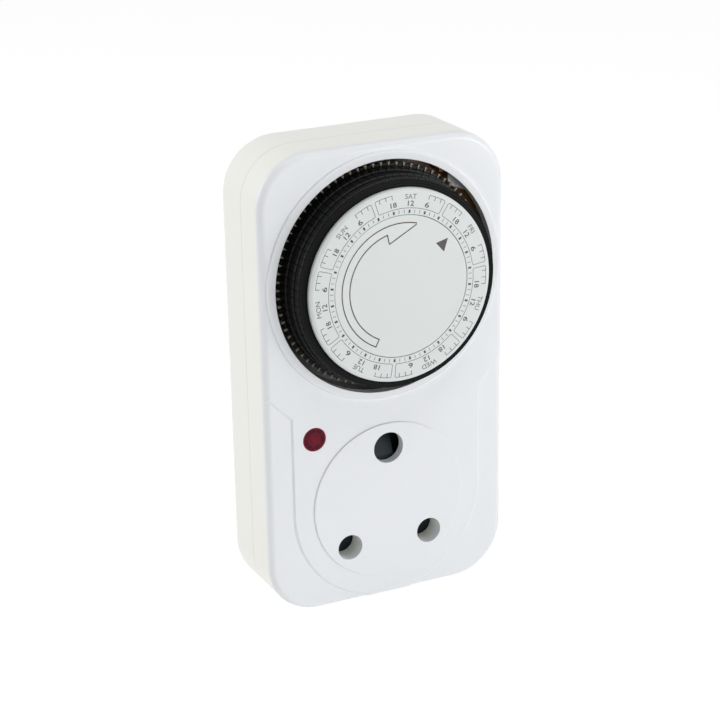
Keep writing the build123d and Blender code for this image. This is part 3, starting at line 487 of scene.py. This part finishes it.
def night_box(marks, midnight, side):
    """The box of one night's half: closed beside midnight, open towards the daytime mark."""
    mark = midnight + side * 6 * HOUR_ANGLE
    wall = midnight + side * BOX_GAP
    for line, inward in ((BOX_LINE, -1), (TICK_LINE, 1)):
        corner = math.degrees(BOX_CORNER / line)
        middle_radius = line + inward * BOX_CORNER
        previous = None
        for step in range(CORNER_STEPS + 1):
            turn = math.radians(90 * step / CORNER_STEPS)
            radius = middle_radius - inward * BOX_CORNER * math.sin(turn)
            angle = wall + side * corner * (1 - math.cos(turn))
            place = on_dial(radius, angle)
            if previous is not None:
                marks.stroke(previous, place)
            previous = place
        end = mark if inward < 0 else midnight + side * 12 * HOUR_ANGLE
        marks.arc(line, min(wall + side * corner, end), max(wall + side * corner, end))
    marks.stroke(on_dial(TICK_LINE + BOX_CORNER, wall), on_dial(BOX_LINE - BOX_CORNER, wall))
    for hour in (6, 4, 2):
        angle = midnight + side * hour * HOUR_ANGLE
        marks.stroke(on_dial(BOX_LINE - COMB, angle), on_dial(BOX_LINE, angle), COMB_LINE)


def dial_print():
    """Weekday names and a week of hours on the turning ring."""
    names = Ink("dial_names", "dial", "print", ink("ink_pale", INK_PALE), ring_face)
    marks = Ink("dial_marks", "dial", "print", ink("ink", INK), ring_face)
    for index, day in enumerate(DAYS):
        noon = NOON_ANGLE + index * DAY_ANGLE
        names.text(day, LETTER_HEIGHT, DAY_PLACE, noon)
        for hours, word, stretch in NUMBERS:
            place = noon + hours * HOUR_ANGLE
            marks.text(word, LETTER_HEIGHT, NUMBER_PLACE, place, stretch, NUMBER_BOLD)
        midnight = noon + 12 * HOUR_ANGLE
        for side in (1, -1):
            night_box(marks, midnight, side)
        for tick in range(12):
            angle = noon + 2 * tick * HOUR_ANGLE
            end, width = LONG_TICK if tick % 3 else BOLD_TICK
            marks.stroke(on_dial(TICK_START, angle), on_dial(end, angle), width)
    names.finish()
    marks.finish()


ARROW_OUTER = 18.1 * MM
ARROW_INNER = 15.8 * MM
ARROW_LINE = 0.32 * MM
ARROW_START = 206.9
ARROW_NECK = 344.75
ARROW_NOTCH = (13.1 * MM, 344.0)
ARROW_TIP = (17.8 * MM, 375.6)
TRIANGLE = ((18.6 * MM, 50.5), (15.2 * MM, 44.4), (15.4 * MM, 58.5))


def disc_print():
    """Turning arrow and pointer on the fixed disc."""
    arrow = Ink("arrow_line", "housing", "centre", ink("ink_arrow", INK_BROWN), disc_face)
    arrow.arc(ARROW_OUTER, ARROW_START, ARROW_TIP[1], ARROW_LINE)
    arrow.arc(ARROW_INNER, ARROW_START, ARROW_NECK, ARROW_LINE)
    half = ARROW_LINE / 2
    tail = [on_dial(radius, ARROW_START) for radius in (ARROW_INNER - half, ARROW_OUTER + half)]
    arrow.stroke(*tail, ARROW_LINE)
    arrow.stroke(on_dial(ARROW_INNER + half, ARROW_NECK), on_dial(*ARROW_NOTCH), ARROW_LINE)
    arrow.stroke(on_dial(*ARROW_NOTCH), on_dial(*ARROW_TIP), ARROW_LINE)
    arrow.finish()
    pointer = Ink("pointer_mark", "housing", "centre", ink("ink_pointer", INK), disc_face)
    pointer.polygon([on_dial(*place) for place in TRIANGLE])
    pointer.finish()


dial_print()
disc_print()


# ---------------------------------------------------------------- drive ribs of the gear's collar
RIB_COUNT = 84
RIB_START = 34.75
RIB_FOOT = 31.12 * MM                   # clear of the tappets' backs, on the collar's face
RIB_STEM = 31.72 * MM                   # within the tappets' teeth, where the lever is
RIB_HEAD = 32.2 * MM                    # in front of the lever
RIB_PROFILE = (                         # forwards from the collar's face, and outer radius
    (-0.1 * MM, RIB_STEM),
    (1.85 * MM, RIB_STEM),
    (1.9 * MM, RIB_HEAD),
    (2.6 * MM, RIB_HEAD),
)
RIB_WIDE = 0.7 * MM
RIB_NARROW = 0.22 * MM


def collar_ribs():
    """Small wedge ribs on the gear's collar, one between each two teeth of the tappets."""
    mesh = bmesh.new()
    for item in range(RIB_COUNT):
        angle = math.radians(RIB_START + item * 360 / RIB_COUNT)
        out = Vector((math.sin(angle), 0, math.cos(angle)))
        along = Vector((math.cos(angle), 0, -math.sin(angle)))
        rings = []
        for forwards, top in RIB_PROFILE:
            here = Vector((dial.x, collar_face - forwards, dial.z))
            corners = ((RIB_FOOT, -RIB_NARROW), (RIB_FOOT, RIB_NARROW), (top, RIB_WIDE), (top, -RIB_WIDE))
            rings.append([mesh.verts.new(here + out * r + along * width / 2) for r, width in corners])
        join_rings(mesh, rings)
    # The ribs take the darker copy of the gear's ivory, painted shade of the well.
    add_piece("collar_ribs", mesh, ivory_painted_shade, "dial")


collar_ribs()


# ---------------------------------------------------------------- shutter spring
SPRING_TURNS = 6
SPRING_RADIUS = 0.95 * MM
STEPS_A_TURN = 20
WIRE_SIDES = 8


def coil_spring():
    """Round wire spring in place of the plain one."""
    low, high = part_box("shutter_spring")
    length = high.z - low.z
    wire_radius = (high.x - low.x) / 2 - SPRING_RADIUS
    middle = (low + high) / 2
    rise = length - 2 * wire_radius
    count = SPRING_TURNS * STEPS_A_TURN
    mesh = bmesh.new()
    rings = []
    for step in range(count + 1):
        angle = 2 * math.pi * step / STEPS_A_TURN
        out = Vector((math.cos(angle), math.sin(angle), 0))
        along = Vector((-math.sin(angle), math.cos(angle), 0)) * SPRING_RADIUS * 2 * math.pi * SPRING_TURNS
        along.z = rise
        upward = out.cross(along).normalized()
        centre = Vector((middle.x, middle.y, low.z + wire_radius + rise * step / count)) + out * SPRING_RADIUS
        turns = [2 * math.pi * side / WIRE_SIDES for side in range(WIRE_SIDES)]
        ring = [centre + (out * math.cos(t) + upward * math.sin(t)) * wire_radius for t in turns]
        rings.append([mesh.verts.new(point) for point in ring])
    join_rings(mesh, rings, smooth=True)
    piece = add_piece("coil_spring", mesh, wire, "housing")
    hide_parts("shutter_spring")
    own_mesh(piece)


coil_spring()


# ---------------------------------------------------------------- floor and light
FLOOR_SIZE = 6.0
FLOOR_WHITE = 1.11
FLOOR_SHARE = 0.8       # of the floor's look that is plain white, the rest keeps its shadow
FLOOR_GLOW = 0.3        # the same for the light that the floor gives
SKY_LIGHT = 0.29


def seen_rays(tree):
    """1 for rays from the camera, a reflection or glass, which see the white backdrop, and 0 for light."""
    paths = tree.nodes.new("ShaderNodeLightPath")
    seen = paths.outputs["Is Camera Ray"]
    for other in ("Is Glossy Ray", "Is Transmission Ray"):
        either = tree.nodes.new("ShaderNodeMath")
        either.operation = "MAXIMUM"
        tree.links.new(seen, either.inputs[0])
        tree.links.new(paths.outputs[other], either.inputs[1])
        seen = either.outputs["Value"]
    return seen


def backdrop():
    """Pale floor, seen as white but for the object's soft shadow at its foot."""
    data = bpy.data.meshes.new("floor")
    half = FLOOR_SIZE / 2
    corners = [(-half, -half, 0), (half, -half, 0), (half, half, 0), (-half, half, 0)]
    data.from_pydata(corners, [], [(0, 1, 2, 3)])
    floor = bpy.data.objects.new("floor", data)
    bpy.context.scene.collection.objects.link(floor)
    made = Nodes("floor", (0.92, 0.92, 0.92), 0.7)
    made.tint(made.noise(3.0), (0.90, 0.90, 0.90))
    light = made.add("ShaderNodeEmission")
    light.inputs["Strength"].default_value = FLOOR_WHITE
    share = made.add("ShaderNodeMapRange")
    share.inputs["To Min"].default_value = FLOOR_GLOW
    share.inputs["To Max"].default_value = FLOOR_SHARE
    made.link(seen_rays(made.tree), share.inputs["Value"])
    mix = made.add("ShaderNodeMixShader")
    made.link(share.outputs["Result"], mix.inputs["Fac"])
    made.link(made.shader.outputs["BSDF"], mix.inputs[1])
    made.link(light.outputs["Emission"], mix.inputs[2])
    made.link(mix.outputs["Shader"], made.tree.nodes["Material Output"].inputs["Surface"])
    data.materials.append(made.material)


def sky():
    """Even soft light all round, seen as white."""
    world = bpy.data.worlds.new("studio")
    bpy.context.scene.world = world
    world.use_nodes = True
    tree = world.node_tree
    background = tree.nodes["Background"]
    background.inputs["Color"].default_value = (1, 1, 1, 1)
    strength = tree.nodes.new("ShaderNodeMapRange")
    strength.inputs["To Min"].default_value = SKY_LIGHT
    strength.inputs["To Max"].default_value = 1.0
    tree.links.new(seen_rays(tree), strength.inputs["Value"])
    tree.links.new(strength.outputs["Result"], background.inputs["Strength"])


backdrop()
sky()
area_light("key", (0.42, -0.58, 0.09), (0.4, 0.3), 2.35, target=(0.02, 0.0, 0.01))
area_light("left", (-0.90, 0.50, 0.45), (0.7, 0.7), 5.0)
area_light("front", (-0.35, -1.00, 0.35), (0.6, 0.6), 0.35)
area_light("top", (0.06, -0.12, 1.0), (0.8, 0.8), 3.75)
make_camera()
bpy.context.scene.view_settings.view_transform = "Standard"
